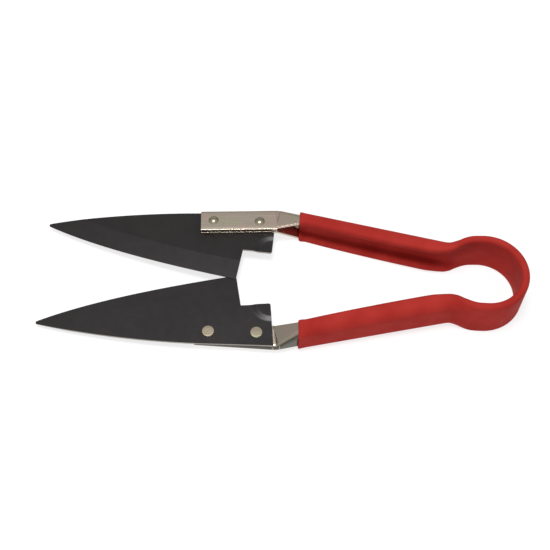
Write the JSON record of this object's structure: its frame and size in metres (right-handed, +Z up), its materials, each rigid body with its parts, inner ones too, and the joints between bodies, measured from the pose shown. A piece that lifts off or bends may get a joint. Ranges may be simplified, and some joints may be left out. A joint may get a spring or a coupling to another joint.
{
  "type": "grass shears",
  "caption": "One-hand spring shears for grass and topiary: crossed triangular blades riveted to a bent spring-steel bow with a red dipped coating.",
  "frame": {"origin": "middle of the bounding box in X and Y, at the height of the bow's lower coated edge", "axes": "+X along the shears from the blade tips to the bow; +Y across, towards the blade that lies on top; +Z up, across the width of the spring strip"},
  "size_m": [0.3212, 0.1008, 0.0331],
  "materials": {
    "blackened_steel": "black-oxide carbon steel, satin, with faint mottling and bright ground edges",
    "plated_spring_steel": "warm nickel-plated spring steel with faint stains and scuffs",
    "rivet_steel": "nickel-plated rivet, domed outside and filed flush inside",
    "dipped_coating": "red dipped PVC, satin, slightly uneven"
  },
  "bodies": {
    "bow": {"spring_bow": "plated_spring_steel", "bow_coating": "dipped_coating"},
    "upper_arm": {"upper_blade": "blackened_steel", "upper_spring_arm": "plated_spring_steel", "upper_grip_coating": "dipped_coating", "upper_front_rivet": "rivet_steel", "upper_rear_rivet": "rivet_steel"},
    "lower_arm": {"lower_blade": "blackened_steel", "lower_spring_arm": "plated_spring_steel", "lower_grip_coating": "dipped_coating", "lower_front_rivet": "rivet_steel", "lower_rear_rivet": "rivet_steel"}
  },
  "joints": [
    {"name": "upper_squeeze", "type": "hinge", "parent": "bow", "child": "upper_arm", "pos_m": [0.1391, 0.02463, 0.01645], "axis": [0, 0, 1], "range_deg": [0, 7.25], "stiffness_Nm_per_rad": 30},
    {"name": "lower_squeeze", "type": "hinge", "parent": "bow", "child": "lower_arm", "pos_m": [0.1391, -0.02463, 0.01645], "axis": [0, 0, -1], "range_deg": [0, 7.25], "stiffness_Nm_per_rad": 30}
  ],
  "couplings": [
    {"joint": "lower_squeeze", "follows": "upper_squeeze", "ratio": 1}
  ]
}
